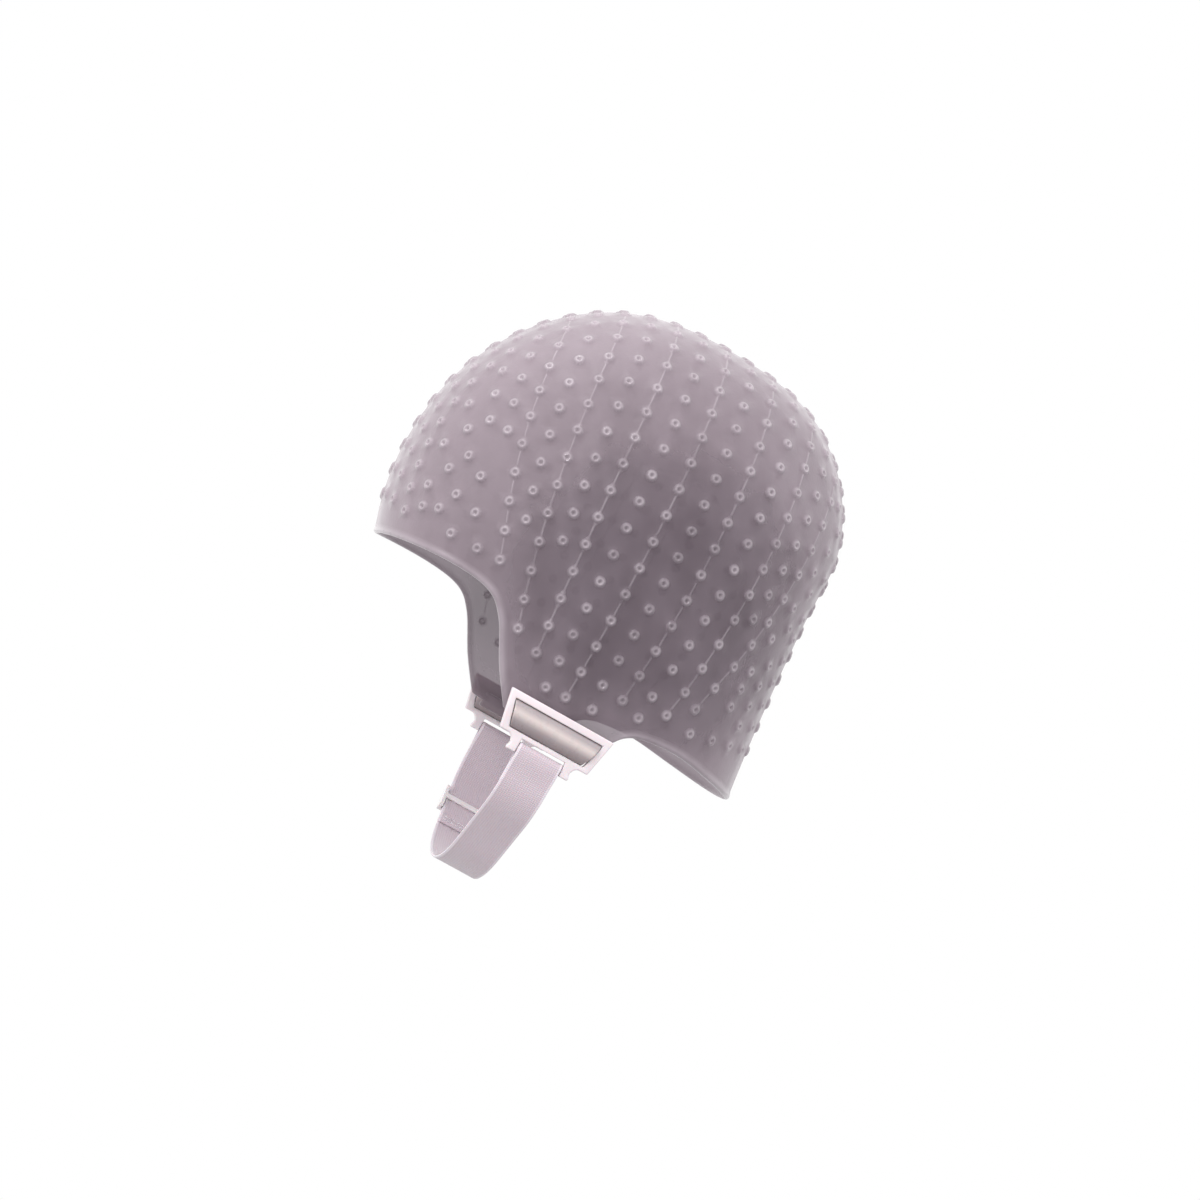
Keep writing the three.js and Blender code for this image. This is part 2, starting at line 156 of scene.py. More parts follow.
def normals(points):
    """Outward directions of the surface at points of the flat map."""
    step = 1e-4 * (1 + np.hypot(points[:, 0], points[:, 1]))[:, None]
    east = surface(points + step * np.array([1.0, 0.0])) - surface(points - step * np.array([1.0, 0.0]))
    north = surface(points + step * np.array([0.0, 1.0])) - surface(points - step * np.array([0.0, 1.0]))
    normal = np.cross(east, north)
    normal /= np.linalg.norm(normal, axis=1)[:, None]
    outward = np.sum(normal * (surface(points) - np.array([0, -10.0, 0.0])), axis=1)
    return normal * np.sign(outward)[:, None]


def curve(controls, count):
    """A smooth open curve through its controls, with count points a stretch."""
    controls = np.array(controls, float)
    padded = np.vstack([controls[:1], controls, controls[-1:]])
    t = np.linspace(0, 1, count, endpoint=False)[:, None]
    rows = [blend(*padded[i : i + 4], t) for i in range(len(controls) - 1)]
    return np.vstack(rows + [controls[-1:]])


def arc_length(line):
    """Distance along a line from its first point to each of its points."""
    return np.concatenate([[0], np.cumsum(np.linalg.norm(np.diff(line, axis=0), axis=1))])


def resample(line, step):
    """The same line with points about a step apart, ends kept."""
    length = arc_length(line)
    marks = np.linspace(0, length[-1], max(2, round(length[-1] / step) + 1))
    return np.column_stack([np.interp(marks, length, line[:, k]) for k in range(line.shape[1])])


def room_inside(places):
    """How far places lie inside the surface, measured from the head's axis. Negative outside."""
    level = np.minimum(places[:, 2], 0)
    hub = np.column_stack([np.zeros(len(places)), NECK_SHIFT * level, level])
    reach = np.linalg.norm(surface(flat_map(places)) - hub, axis=1)
    return reach - np.linalg.norm(places - hub, axis=1)


def onto_side(outline):
    """Places on the wearer's left of the surface for a side outline's (y, z) points."""
    low = np.zeros(len(outline))
    high = np.full(len(outline), 120.0)
    for _ in range(40):
        middle = (low + high) / 2
        within = room_inside(np.column_stack([middle, outline])) > 0
        low = np.where(within, middle, low)
        high = np.where(within, high, middle)
    return np.column_stack([low, outline])


def nearest(places, targets):
    """Distance from each place to its closest target, and which one it is."""
    tree = KDTree(len(targets))
    for i, target in enumerate(targets):
        tree.insert(target, i)
    tree.balance()
    found = [tree.find(place) for place in places]
    return np.array([hit[2] for hit in found]), np.array([hit[1] for hit in found])


def in_buckle(along, down):
    """Side view (y, z) of a place near the buckle, from its rod."""
    spot = ROD + along * ALONG + down * DOWN
    return [spot[1], spot[2]]


# ---- Rim -----------------------------------------------------------------------------------------

FACE_EDGE = [[-130, 18], [-108, 11], [-84, -1], [-68, -13], [-63, -26], [-62.6, -48], [-60.5, -68]]
NECK_EDGE = [[-10, -85.2], [-3, -82.9], [6, -84.4], [22, -91.8], [39, -104.2], [60, -120.5], [80, -136]]
TAB_HALF = 20.5

side_outline = np.vstack(
    [curve(FACE_EDGE, 60), [in_buckle(-TAB_HALF, 1)], [in_buckle(TAB_HALF, 1)], curve(NECK_EDGE, 60)]
)
side_outline = resample(side_outline, 0.1)
flat_side = np.column_stack([np.zeros(len(side_outline)), side_outline])
side_outline = side_outline[room_inside(flat_side) > 0]
half_rim = resample(onto_side(side_outline), 1.3)
half_rim[0, 0] = 0
half_rim[-1, 0] = 0
other_half = half_rim[-2:0:-1] * np.array([-1, 1, 1])
rim = np.vstack([half_rim, other_half])
rim_flat = flat_map(rim)
fine_rim = resample(np.vstack([rim, rim[:1]]), 0.25)

# ---- Dimples: columns that start on the crown's middle line and run down both sides --------------

COLUMN_PITCH = 13.0
FIRST_COLUMN = -10
LAST_COLUMN = 26
LINED_COLUMNS = (2, 4, 6, 8, 10, 12, 14)
CROWN_START = (-45.0, 110.0)
# Each column's lean toward the face in side view: where it starts along the middle line, its first
# lean in degrees, and the degrees it gains for each millimetre.
COLUMN_LEAN = np.array(
    [
        [-120, -50, 0],
        [-90, -25, -0.1],
        [-50, 5, -0.4],
        [0, 36, -0.5],
        [26, 34, -0.24],
        [52, 32, -0.13],
        [78, 28.6, -0.031],
        [104, 24, 0.035],
        [130, 21, 0.078],
        [156, 18.3, 0.127],
        [182, 19, 0.2],
        [205, 31, 0.2],
        [230, 50, 0.1],
        [270, 70, 0],
        [310, 90, 0],
        [345, 112, 0],
    ]
)
MOST_LEAN_GAIN = 25.0
COLUMN_REACH = 230.0  # longer than any column in side view
BUCKLE_HALF = 28.0
BUCKLE_RISE = 5.0
BUCKLE_HEIGHT = 8.0
RIM_MARGIN = 9.0
LEAST_SPACING = 0.7 * PITCH


def under_buckle(places, margin):
    """How far places lie within the ground that a swinging buckle frame covers: 0 clear of it, 1 inside."""
    rod_line = np.array([0.0, ROD[1], ROD[2]])
    along = np.abs((places - rod_line) @ ALONG) - BUCKLE_HALF
    down = np.abs((places - rod_line) @ DOWN + BUCKLE_RISE) - BUCKLE_HEIGHT
    return smooth(1 - np.maximum(along, down) / margin)


def middle_line():
    """The cap's section at its middle from the forehead edge over the crown to the nape edge."""
    front = resample(np.array([[0.0, -8.0], [0.0, -EQUATOR]]), 0.002)
    over = resample(np.array([[0.0, -EQUATOR], [0.0, EQUATOR]]), 0.002)
    back = resample(np.array([[0.0, EQUATOR], [0.0, 8.0]]), 0.002)
    line = surface(np.vstack([front, over[1:], back[1:]]))
    edge = np.where(line[:, 1] < 0, half_rim[0, 2], half_rim[-1, 2])
    return line[line[:, 2] > edge]


def column(start, lean, gain):
    """Fine points down the wearer's left of one column."""
    down = COLUMN_REACH * np.linspace(0, 1, 700) ** 2
    change = np.clip(gain * down, -MOST_LEAN_GAIN, MOST_LEAN_GAIN)
    angle = np.radians(lean + change)
    step = np.diff(down, prepend=0)
    side = start + np.column_stack([np.cumsum(-np.sin(angle) * step), np.cumsum(-np.cos(angle) * step)])
    flat = np.column_stack([np.zeros(len(side)), side])
    outside = np.flatnonzero(room_inside(flat)[1:] <= 0)
    side = side[: outside[0] + 1] if len(outside) else side
    line = onto_side(side)
    line[0] = [0, *start]
    return line


crown = middle_line()
crown_length = arc_length(crown)
zero = crown_length[np.argmin(np.hypot(crown[:, 1] - CROWN_START[0], crown[:, 2] - CROWN_START[1]))]
centres = []
ridges = []
columns = sorted(range(FIRST_COLUMN, LAST_COLUMN + 1), key=lambda i: (i not in LINED_COLUMNS, i % 2, i))
for index in columns:
    mark = index * COLUMN_PITCH
    if not 0 < mark + zero < crown_length[-1]:
        continue
    start = np.array([np.interp(mark + zero, crown_length, crown[:, k]) for k in (1, 2)])
    lean, gain = (np.interp(mark, COLUMN_LEAN[:, 0], COLUMN_LEAN[:, k]) for k in (1, 2))
    line = column(start, lean, gain)
    length = arc_length(line)
    count = int(length[-1] // PITCH) + 1
    spots = np.column_stack([np.interp(np.arange(count) * PITCH, length, line[:, k]) for k in range(3)])
    clear = (nearest(spots, fine_rim)[0] > RIM_MARGIN) & (under_buckle(spots, 4.0) == 0)
    below = np.flatnonzero(~clear)
    spots = spots[: below[0]] if len(below) else spots
    kept = []
    for spot in spots:
        near = [np.linalg.norm(spot - other) for other in centres]
        if not near or min(near) > LEAST_SPACING:
            kept.append(spot)
    for spot in kept:
        centres.append(spot)
        if spot[0] > 0.5 * LEAST_SPACING:
            centres.append(spot * np.array([-1, 1, 1]))
    if index in LINED_COLUMNS and len(kept) > 1:
        reach = nearest(kept[-1:], line)[1][0]
        ridges.append(resample(line[: reach + 1], 1.6))
        ridges.append(ridges[-1] * np.array([-1, 1, 1]))
centres = np.array(centres)

# ---- Cap mesh ------------------------------------------------------------------------------------

CRATER_RINGS = [0.5, 0.95, 1.4, 1.9, 2.5, 3.2]
CRATER_CREST = 1.5
CRATER_FOOT = 3.1
CRATER_HEIGHT = 1.35
CRATER_FLOOR = 0.45
CRATER_PIT = 0.45  # radius of the flat floor
RIDGE_HALF = 0.65
RIDGE_HEIGHT = 0.45
BEAD_FADE = 4.6
RIM_ROWS = [0.12, 0.4, 0.8, 1.25, 1.75, 2.4, 3.3, 4.6]
GRID = 4.2


def half_thickness(from_rim):
    """Half the wall's thickness: a round bead along the rim that eases into the wall."""
    bead = np.sqrt(np.maximum(RIM_RADIUS**2 - np.maximum(RIM_RADIUS - from_rim, 0) ** 2, 0))
    return bead + (HALF_WALL - RIM_RADIUS) * smooth((from_rim - RIM_RADIUS) / (BEAD_FADE - RIM_RADIUS))


def crater(from_centre):
    """Height of a dimple's raised ring, hollow in the middle, over the wall."""
    climb = smooth((from_centre - CRATER_PIT) / (CRATER_CREST - CRATER_PIT))
    rise = CRATER_FLOOR + (CRATER_HEIGHT - CRATER_FLOOR) * climb
    fall = CRATER_HEIGHT * (1 - smooth((from_centre - CRATER_CREST) / (CRATER_FOOT - CRATER_CREST)))
    return np.where(from_centre < CRATER_CREST, rise, fall)


def tangents(places):
    """Two square directions in the surface at places on it."""
    normal = normals(flat_map(places))
    first = np.cross(normal, [0.0, 0.6, 0.8])
    first /= np.linalg.norm(first, axis=1)[:, None]
    return first, np.cross(normal, first)


def rim_rows():
    """Rows of places that run along inside the rim."""
    forward = np.roll(rim, -1, axis=0) - np.roll(rim, 1, axis=0)
    forward /= np.linalg.norm(forward, axis=1)[:, None]
    normal = normals(rim_flat)
    inward = np.cross(normal, forward)
    inward /= np.linalg.norm(inward, axis=1)[:, None]
    top = np.array([0.0, 0.0, 100.0])
    inward *= np.sign(np.median(np.sum(inward * (top - rim), axis=1)))
    rows = []
    for depth in RIM_ROWS:
        row = rim + inward * depth
        rows.append(row[nearest(row, fine_rim)[0] > depth * 0.93])
    return np.vstack(rows)


def background():
    """Even places over the whole dome and neck."""
    rows = []
    levels = [(0.0, -GRID * 0.9 * k) for k in range(36)]
    levels += [(k * GRID * 0.9 / 112, 0.0) for k in range(1, 47)]
    for index, (elevation, level) in enumerate(levels):
        dome = EQUATOR * math.tan((math.pi / 2 - elevation) / 2)
        radius = dome if elevation else EQUATOR * math.exp(-level / NECK_SCALE)
        count = max(1, round(620 * math.cos(elevation) / GRID))
        bearing = 2 * math.pi * (np.arange(count) + 0.5 * (index % 2)) / count
        rows.append(surface(radius * np.column_stack([np.sin(bearing), np.cos(bearing)])))
    return np.vstack(rows)


def away_from(places, targets, least):
    return places[nearest(places, targets)[0] > least]


def sheet_of(places):
    """A triangulated sheet inside the rim: flat points, triangles, and each point's rim number or -1."""
    flat = np.vstack([rim_flat, flat_map(places)])
    loop = list(range(len(rim)))
    made = delaunay_2d_cdt([Vector(p) for p in flat.tolist()], [], [loop], 1, 1e-7)
    coords = np.array([tuple(v) for v in made[0]])
    rim_number = np.full(len(coords), -1)
    for i, originals in enumerate(made[3]):
        for original in originals:
            if original < len(rim):
                rim_number[i] = original
    return coords, np.array(made[2]), rim_number


def make_mesh(name, points, faces, material):
    """A smooth-shaded object from points in millimetres."""
    mesh = bpy.data.meshes.new(name)
    mesh.from_pydata((np.asarray(points) * MM).tolist(), [], [list(map(int, face)) for face in faces])
    mesh.validate()
    mesh.polygons.foreach_set("use_smooth", [True] * len(mesh.polygons))
    piece = bpy.data.objects.new(name, mesh)
    bpy.context.scene.collection.objects.link(piece)
    mesh.materials.append(material)
    return piece


def cap_mesh(material):
    rows = rim_rows()
    plain = away_from(background(), fine_rim, RIM_ROWS[-1] + 1.2)
    first, second = tangents(centres)
    rings = [centres]
    for k, radius in enumerate(CRATER_RINGS):
        for turn in range(12):
            angle = math.pi * (turn + 0.5 * (k % 2)) / 6
            rings.append(centres + radius * (math.cos(angle) * first + math.sin(angle) * second))
    rings = np.vstack(rings)
    ridge_line = np.vstack(ridges)
    ridge_points = []
    for line in ridges:
        forward = np.gradient(line, axis=0)
        side = np.cross(normals(flat_map(line)), forward)
        side /= np.linalg.norm(side, axis=1)[:, None]
        for offset in (-1.0, -0.5, 0.0, 0.5, 1.0):
            ridge_points.append(line + 1.15 * offset * RIDGE_HALF * side)
    ridge_points = away_from(np.vstack(ridge_points), centres, CRATER_RINGS[-1] + 0.2)
    sparse = away_from(away_from(plain, centres, CRATER_RINGS[-1] + 1.3), ridge_line, 2.2)
    flat, faces, rim_number = sheet_of(np.vstack([rows, rings, ridge_points, sparse]))
    middle = surface(flat)
    from_rim = np.where(rim_number >= 0, 0.0, nearest(middle, fine_rim)[0])
    from_centre = nearest(middle, centres)[0]
    from_ridge = nearest(middle, np.vstack([resample(line, 0.3) for line in ridges]))[0]
    lift = np.maximum(
        np.where(from_centre < CRATER_FOOT + 0.4, crater(from_centre), 0.0),
        RIDGE_HEIGHT * (1 - smooth(from_ridge / RIDGE_HALF)) * (from_centre > 2.0),
    )
    # The outer face stays thin under the buckle frames, which swing close over it.
    flush = under_buckle(middle, 3.0)
    wall = half_thickness(from_rim)
    wall = wall + (np.minimum(wall, HALF_WALL) - wall) * flush
    lift = lift * (1 - flush)
    outer = middle + normals(flat) * (wall + lift - HALF_WALL)[:, None]

    flat_in, faces_in, rim_in = sheet_of(np.vstack([rows, plain]))
    middle_in = surface(flat_in)
    depth_in = np.where(rim_in >= 0, 0.0, nearest(middle_in, fine_rim)[0])
    inner = middle_in - normals(flat_in) * (half_thickness(depth_in) + HALF_WALL)[:, None]
    rim_point = np.full(len(rim), -1)
    rim_point[rim_number[rim_number >= 0]] = np.flatnonzero(rim_number >= 0)
    renumber = np.arange(len(inner)) + len(outer)
    renumber = np.where(rim_in >= 0, rim_point[rim_in], renumber)
    points = np.vstack([outer, inner])
    triangles = np.vstack([faces, renumber[faces_in][:, ::-1]])
    used = np.unique(triangles)
    order = np.zeros(len(points), int)
    order[used] = np.arange(len(used))
    piece = make_mesh("silicone_cap", points[used], order[triangles], material)
    bead = np.clip((half_thickness(from_rim) - HALF_WALL) / (RIM_RADIUS - HALF_WALL), 0, 1) * (from_rim > 0.3)
    bead = np.maximum(bead, from_rim < 1.0)
    # Colour weights: paler where the silicone is thicker, on the rim bead, the raised guide lines and each
    # dimple. The ring at each crater's crest is a painted highlight; the dip at its middle stands for the
    # thin membrane over the hole and for painted shade in the pit.
    ring = 0.28 * np.exp(-(((from_centre - CRATER_CREST) / 0.5) ** 2))
    hollow = 0.3 * np.exp(-((from_centre / 0.7) ** 2))
    line = 0.5 * smooth(lift / RIDGE_HEIGHT) * (from_centre > CRATER_FOOT)
    proud_and_painted_light = np.maximum(line, (0.6 * smooth(1.15 - from_centre / 3.0) + ring - hollow) * (1 - flush))
    thickness_and_painted_light = np.concatenate([np.clip(np.maximum(0.5 * bead, proud_and_painted_light), 0, 1), np.zeros(len(inner))])
    layer = piece.data.attributes.new("thickness_and_painted_light", "FLOAT", "POINT")
    layer.data.foreach_set("value", thickness_and_painted_light[used].astype(np.float32))
    return piece


# ---- Materials -----------------------------------------------------------------------------------


class Shader:
    """A material's node tree with short helpers."""

    def __init__(self, name):
        self.material = bpy.data.materials.new(name)
        self.material.use_nodes = True
        self.tree = self.material.node_tree
        self.surface = self.tree.nodes["Principled BSDF"]
        self.place = self.add("ShaderNodeTexCoord").outputs["Object"]

    def add(self, kind, **settings):
        node = self.tree.nodes.new(kind)
        for key, value in settings.items():
            setattr(node, key, value)
        return node

    def link(self, source, target):
        self.tree.links.new(source, target)

    def set(self, **values):
        for key, value in values.items():
            self.surface.inputs[key.replace("_", " ")].default_value = value

    def noise(self, scale, detail=3.0, roughness=0.5, place=None):
        node = self.add("ShaderNodeTexNoise")
        node.inputs["Scale"].default_value = scale
        node.inputs["Detail"].default_value = detail
        node.inputs["Roughness"].default_value = roughness
        self.link(place or self.place, node.inputs["Vector"])
        return node.outputs["Fac"]

    def ramp(self, source, *stops):
        """Colours or greys, each at its own place from 0 to 1."""
        node = self.add("ShaderNodeValToRGB")
        while len(node.color_ramp.elements) < len(stops):
            node.color_ramp.elements.new(0.5)
        for element, (at, colour) in zip(node.color_ramp.elements, stops):
            element.position = at
            element.color = (*colour, 1) if isinstance(colour, tuple) else (colour, colour, colour, 1)
        self.link(source, node.inputs["Fac"])
        return node.outputs["Color"]

    def math(self, operation, first, second=0.0, third=0.0):
        node = self.add("ShaderNodeMath", operation=operation)
        for socket, value in zip(node.inputs, (first, second, third)):
            if isinstance(value, (int, float)):
                socket.default_value = value
            else:
                self.link(value, socket)
        return node.outputs[0]

    def mix(self, factor, first, second):
        node = self.add("ShaderNodeMix", data_type="RGBA")
        for socket, value in zip((node.inputs[0], node.inputs[6], node.inputs[7]), (factor, first, second)):
            if isinstance(value, tuple):
                socket.default_value = (*value, 1)
            elif isinstance(value, (int, float)):
                socket.default_value = value
            else:
                self.link(value, socket)
        return node.outputs[2]

    def bump(self, height, strength, distance):
        node = self.add("ShaderNodeBump")
        node.inputs["Strength"].default_value = strength
        node.inputs["Distance"].default_value = distance
        self.link(height, node.inputs["Height"])
        self.link(node.outputs["Normal"], self.surface.inputs["Normal"])

    def attribute(self, name):
        return self.add("ShaderNodeAttribute", attribute_name=name)


SEE_THROUGH = 0.42  # share of light that passes each face of the cap's thin wall


def linear(red, green, blue):
    """A colour given in screen values from 0 to 255."""
    return tuple(((c / 255 + 0.055) / 1.055) ** 2.4 if c > 10 else c / 3294.6 for c in (red, green, blue))


def silicone_material():
    """Frosted silicone that lets some light straight through: cloudy grey, paler where the silicone is
    thicker, with painted light and shade over the cap and a painted highlight on each crater's crest.
    """
    shader = Shader("frosted_silicone")
    cloud = shader.noise(24, 5, 0.6)
    mottle = shader.noise(95, 3, 0.6)
    flow = shader.add("ShaderNodeMapping")
    flow.inputs["Scale"].default_value = (34, 34, 11)
    flow.inputs["Rotation"].default_value = (0.25, 0.0, 0.0)
    shader.link(shader.place, flow.inputs["Vector"])
    streak = shader.ramp(shader.noise(1.6, 3, 0.55, flow.outputs["Vector"]), (0.4, 0.0), (0.68, 0.5))
    tint = shader.ramp(cloud, (0.3, linear(78, 65, 74)), (0.72, linear(99, 86, 95)))
    tint = shader.mix(shader.math("MULTIPLY", mottle, 0.3), tint, linear(119, 106, 115))
    tint = shader.mix(streak, tint, linear(124, 112, 121))
    # Painted light and shade: palest over the crown and along the edges, darkest low on each side where the
    # wall faces the ears.
    side_view = shader.add("ShaderNodeVectorMath", operation="MULTIPLY")
    side_view.inputs[1].default_value = (0.0, 1.0, 1.0)
    shader.link(shader.place, side_view.inputs[0])
    from_painted_shade_centre = shader.add("ShaderNodeVectorMath", operation="DISTANCE")
    shader.link(side_view.outputs[0], from_painted_shade_centre.inputs[0])
    from_painted_shade_centre.inputs[1].default_value = (0.0, 0.012, -0.02)
    painted_light_coordinate = shader.math("MULTIPLY_ADD", cloud, 0.02, from_painted_shade_centre.outputs["Value"])
    painted_light_and_shade = shader.ramp(
        shader.math("MULTIPLY", painted_light_coordinate, 6.0),
        (0.3, 0.0),
        (0.45, 0.145),
        (0.54, 0.38),
        (0.65, 0.44),
        (0.9, 0.74),
    )
    tint = shader.mix(painted_light_and_shade, tint, linear(182, 168, 176))
    # Weights for thicker silicone, with each crater's painted crest highlight and painted pit shade.
    thickness_and_painted_light = shader.attribute("thickness_and_painted_light").outputs["Fac"]
    patchy = shader.ramp(shader.noise(60, 2), (0.35, 0.35), (0.65, 0.95))
    tint = shader.mix(shader.math("MULTIPLY", thickness_and_painted_light, patchy), tint, linear(188, 177, 185))
    shader.link(tint, shader.surface.inputs["Base Color"])
    shader.set(IOR=1.41, Sheen_Weight=0.8, Sheen_Roughness=0.5)
    shader.link(thickness_and_painted_light, shader.surface.inputs["Coat Weight"])
    shader.set(Coat_Roughness=0.09)
    rough = shader.ramp(shader.noise(140, 3), (0.3, 0.36), (0.7, 0.48))
    rough = shader.mix(thickness_and_painted_light, rough, (0.16, 0.16, 0.16))
    shader.link(rough, shader.surface.inputs["Roughness"])
    grain = shader.math("ADD", shader.noise(900, 2), shader.math("MULTIPLY", cloud, 2.0))
    shader.bump(grain, 0.3, 0.0003)
    clear = shader.add("ShaderNodeBsdfTransparent")
    clear.inputs[0].default_value = (0.985, 0.95, 0.975, 1)
    blend = shader.add("ShaderNodeMixShader")
    through = shader.math("MULTIPLY", shader.math("SUBTRACT", 1.0, thickness_and_painted_light), SEE_THROUGH)
    shader.link(through, blend.inputs[0])
    shader.link(shader.surface.outputs[0], blend.inputs[1])
    shader.link(clear.outputs[0], blend.inputs[2])
    shader.link(blend.outputs[0], shader.tree.nodes["Material Output"].inputs["Surface"])
    return shader.material


def bead_material():
    """The same silicone where it wraps the buckle rod: satin, with painted light and shade across it, a
    highlight band along the middle and shade toward the top and bottom edges.
    """
    shader = Shader("bead_silicone_painted_light")
    height = shader.math("MULTIPLY_ADD", shader.attribute("round").outputs["Fac"], 0.5, 0.5)
    painted_light_coordinate = shader.math("MULTIPLY_ADD", shader.noise(90, 2), 0.05, height)
    # Painted light and shade: a highlight band along the middle of the bead and shade toward its top and
    # bottom edges.
    band = shader.ramp(
        painted_light_coordinate,
        (0.04, linear(150, 140, 143)),
        (0.2, linear(160, 149, 152)),
        (0.4, linear(206, 194, 191)),
        (0.5, linear(198, 186, 184)),
        (0.7, linear(154, 142, 145)),
        (0.96, linear(134, 122, 125)),
    )
    tint = shader.mix(shader.math("MULTIPLY", shader.noise(60, 3), 0.25), band, linear(196, 188, 188))
    shader.link(tint, shader.surface.inputs["Base Color"])
    shader.set(IOR=1.41, Subsurface_Weight=0.15, Subsurface_Scale=0.002, Coat_Weight=0.3, Coat_Roughness=0.2)
    rough = shader.ramp(shader.noise(300, 2), (0.3, 0.24), (0.7, 0.34))
    shader.link(rough, shader.surface.inputs["Roughness"])
    shader.bump(shader.noise(700, 2), 0.12, 0.0002)
    return shader.material


def plastic_material(name, light, roughness):
    """Moulded white plastic with a faint warm cast and fine mould texture."""
    shader = Shader(name)
    cloud = shader.noise(45, 3)
    dull = tuple(level - 11 for level in light)
    tint = shader.ramp(cloud, (0.3, linear(*dull)), (0.7, linear(*light)))
    shader.link(tint, shader.surface.inputs["Base Color"])
    shader.set(IOR=1.49, Subsurface_Weight=0.1, Subsurface_Scale=0.002, Coat_Weight=0.15, Coat_Roughness=0.2)
    rough = shader.ramp(shader.noise(260, 3), (0.3, roughness), (0.7, roughness + 0.12))
    shader.link(rough, shader.surface.inputs["Roughness"])
    shader.bump(shader.noise(1400, 2), 0.1, 0.0001)
    return shader.material


def steel_material():
    """Drawn steel wire with fine lines along it."""
    shader = Shader("rod_steel")
    stretched = shader.add("ShaderNodeMapping")
    stretched.inputs["Scale"].default_value = (900, 60, 60)
    shader.link(shader.place, stretched.inputs["Vector"])
    line = shader.noise(1.0, 2, 0.5, stretched.outputs["Vector"])
    shader.link(shader.ramp(line, (0.3, 0.42), (0.7, 0.6)), shader.surface.inputs["Base Color"])
    shader.set(Metallic=1.0)
    shader.link(shader.ramp(line, (0.3, 0.22), (0.7, 0.38)), shader.surface.inputs["Roughness"])
    shader.bump(line, 0.1, 0.0001)
    return shader.material


def elastic_material():
    """Knitted elastic: fine ribs along the band, crossed by its picks, with a soft fuzz."""
    shader = Shader("woven_elastic")
    place = shader.attribute("band").outputs["Vector"]
    split = shader.add("ShaderNodeSeparateXYZ")
    shader.link(place, split.inputs[0])
    along, across = split.outputs[0], split.outputs[1]
    rib = shader.math("SINE", shader.math("MULTIPLY", across, 2 * math.pi / 1.15))
    row = shader.math("MULTIPLY_ADD", along, 2 * math.pi / 0.9, shader.math("MULTIPLY", rib, 0.9))
    weave = shader.math("ADD", shader.math("MULTIPLY", rib, 0.6), shader.math("SINE", row))
    height = shader.math("MULTIPLY_ADD", weave, 0.3, 0.5)
    fuzz = shader.noise(1500, 3)
    tint = shader.ramp(height, (0.05, linear(184, 169, 178)), (0.9, linear(210, 195, 203)))
    tint = shader.mix(shader.math("MULTIPLY", shader.noise(55, 3), 0.35), tint, linear(214, 202, 211))
    edge = shader.math("SMOOTH_MAX", shader.math("SUBTRACT", shader.math("ABSOLUTE", across), 9.9), 0.0, 0.1)
    selvedge = shader.math("MINIMUM", shader.math("MULTIPLY", edge, 1.2), 0.6)
    tint = shader.mix(selvedge, tint, linear(238, 231, 238))
    shader.link(tint, shader.surface.inputs["Base Color"])
    shader.set(Roughness=0.85, Sheen_Weight=0.5, Sheen_Roughness=0.5)
    shader.set(Subsurface_Weight=0.08, Subsurface_Scale=0.001)
    shader.bump(shader.math("MULTIPLY_ADD", fuzz, 0.35, height), 0.5, 0.0003)
    return shader.material


def thread_material():
    """Twisted polyester sewing thread."""
    shader = Shader("sewing_thread")
    wave = shader.add("ShaderNodeTexWave", bands_direction="DIAGONAL")
    wave.inputs["Scale"].default_value = 900
    wave.inputs["Distortion"].default_value = 1.5
    shader.link(shader.place, wave.inputs["Vector"])
    tint = shader.ramp(wave.outputs["Fac"], (0.2, linear(205, 197, 204)), (0.8, linear(240, 235, 240)))
    shader.link(tint, shader.surface.inputs["Base Color"])
    shader.set(Roughness=0.6, Sheen_Weight=0.4)
    shader.bump(wave.outputs["Fac"], 0.5, 0.0001)
    return shader.material


silicone = silicone_material()
satin = bead_material()
plastic = plastic_material("white_plastic", (235, 225, 229), 0.28)
glossy_plastic = plastic_material("glossy_white_plastic", (238, 233, 235), 0.1)
steel = steel_material()
elastic = elastic_material()
thread = thread_material()


def claim(piece, body, slot, *nodes):
    """Names a piece's body and the nodes it stands for. The slot argument is not used."""
    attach(piece, body)
    if nodes:
        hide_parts(*nodes)


cap = cap_mesh(silicone)
claim(cap, "cap", "silicone", "cap_shell")


def place_at(sideways, along, down):
    """A place near a buckle or on the strap, from its distances along the rod's two directions."""
    sideways, along, down = (np.asarray(v, float) for v in (sideways, along, down))
    spot = along[..., None] * ALONG + down[..., None] * DOWN + np.array([0, ROD[1], ROD[2]])
    spot[..., 0] = sideways
    return spot


def grid_faces(rows, columns, close_rows=False):
    """Quads between rings of points counted row by row, with the last row joined to the first on request."""
    faces = []
    for i in range(rows if close_rows else rows - 1):
        for j in range(columns):
            low, high = i * columns, (i + 1) % rows * columns
            after = (j + 1) % columns
            faces.append([low + j, low + after, high + after, high + j])
    return faces


def face_outward(piece):
    """Turns every face of a closed piece outward."""
    mesh = bmesh.new()
    mesh.from_mesh(piece.data)
    bmesh.ops.recalc_face_normals(mesh, faces=mesh.faces)
    mesh.to_mesh(piece.data)
    mesh.free()


def finish_modifiers(piece):
    """Applies a piece's modifiers to its mesh."""
    bpy.context.view_layer.update()
    shape = piece.evaluated_get(bpy.context.evaluated_depsgraph_get())
    mesh = bpy.data.meshes.new_from_object(shape)
    piece.modifiers.clear()
    piece.data = mesh


def smooth_by_angle(piece, degrees):
    """Smooth shading with sharp edges kept where faces meet at more than an angle."""
    mesh = bmesh.new()
    mesh.from_mesh(piece.data)
    for edge in mesh.edges:
        edge.smooth = edge.calc_face_angle(0) < math.radians(degrees)
    for face in mesh.faces:
        face.smooth = True
    mesh.to_mesh(piece.data)
    mesh.free()


# ---- Tab ends: the oval bead round each rod, and the web that joins it to the cap ----------------

